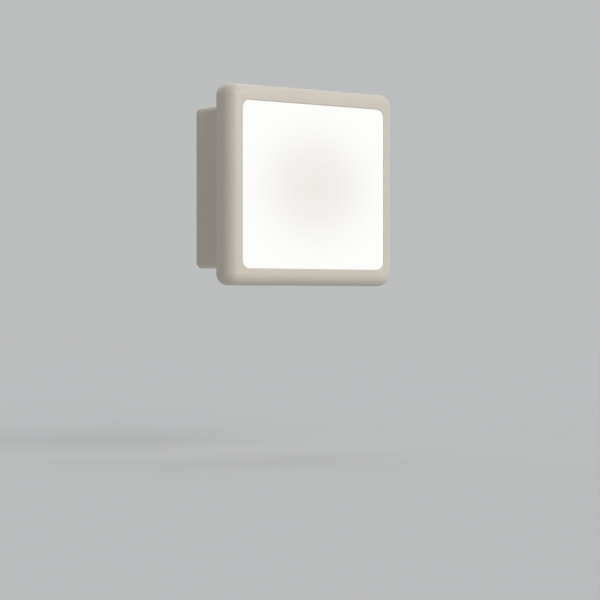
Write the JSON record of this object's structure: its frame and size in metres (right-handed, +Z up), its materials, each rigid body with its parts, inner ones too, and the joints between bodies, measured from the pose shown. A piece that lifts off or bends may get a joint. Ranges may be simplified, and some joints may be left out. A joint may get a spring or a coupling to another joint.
{
  "type": "plug-in night light",
  "caption": "Plug-in night light: slim square edge-lit panel on a boxy neck with polarised plug blades, a light sensor and a slide switch.",
  "frame": {"origin": "centre of the plug face, midway between the two blades", "axes": "+X to the right as seen from the room, +Y along the blades into the wall, +Z up; the lit panel faces -Y"},
  "size_m": [0.0512, 0.0396, 0.0484],
  "materials": {
    "housing_white": "satin-gloss warm white moulding",
    "diffuser_opal": "opal, lit from its edges",
    "guide_clear": "clear polished acrylic",
    "reflector_white": "white foil",
    "led_board_white": "white solder mask",
    "driver_board_green": "green solder mask",
    "led_body": "moulded",
    "led_phosphor": "phosphor gel",
    "black_moulding": "moulded epoxy",
    "plated_brass": "nickel-plated, satin",
    "screw_steel": "zinc-plated",
    "tinned_wire": "tinned",
    "retainer_grey": "glass-filled moulding",
    "film_yellow": "potted box",
    "can_sleeve": "shrink sleeve",
    "varistor_blue": "epoxy coat",
    "resistor_coat": "lacquer",
    "sensor_clear": "clear epoxy",
    "window_smoke": "smoked, polished",
    "switch_sheet": "plated sheet",
    "knob_white": "fine-textured moulding"
  },
  "bodies": {
    "lamp": {"blade_retainer": "retainer_grey", "board_screws": "screw_steel", "bridge_rectifier": "black_moulding", "chip_resistors": "black_moulding", "component_leads": "tinned_wire", "control_chip": "black_moulding", "cover_screws": "screw_steel", "diffuser_panel": "diffuser_opal", "driver_board": "driver_board_green", "film_capacitor": "film_yellow", "front_frame": "housing_white", "fusible_resistor": "resistor_coat", "led_board": "led_board_white", "led_phosphors": "led_phosphor", "led_resistors": "black_moulding", "light_guide": "guide_clear", "light_sensor": "sensor_clear", "line_blade": "plated_brass", "link_header": "black_moulding", "link_pins": "plated_brass", "neutral_blade": "plated_brass", "package_legs": "tinned_wire", "rear_cover": "housing_white", "rear_housing": "housing_white", "reflector_sheet": "reflector_white", "retainer_screws": "screw_steel", "sensor_leads": "tinned_wire", "sensor_window": "window_smoke", "side_leds": "led_body", "smoothing_capacitor": "can_sleeve", "surge_varistor": "varistor_blue", "switch_base": "black_moulding", "switch_frame": "switch_sheet", "switch_terminals": "plated_brass"},
    "switch_slide": {"sliding_contact": "plated_brass", "switch_knob": "knob_white", "switch_slider": "knob_white"}
  },
  "joints": [
    {"name": "mode_switch", "type": "slide", "parent": "lamp", "child": "switch_slide", "axis": [0, 0, 1], "range_m": [-0.002, 0.002]}
  ]
}
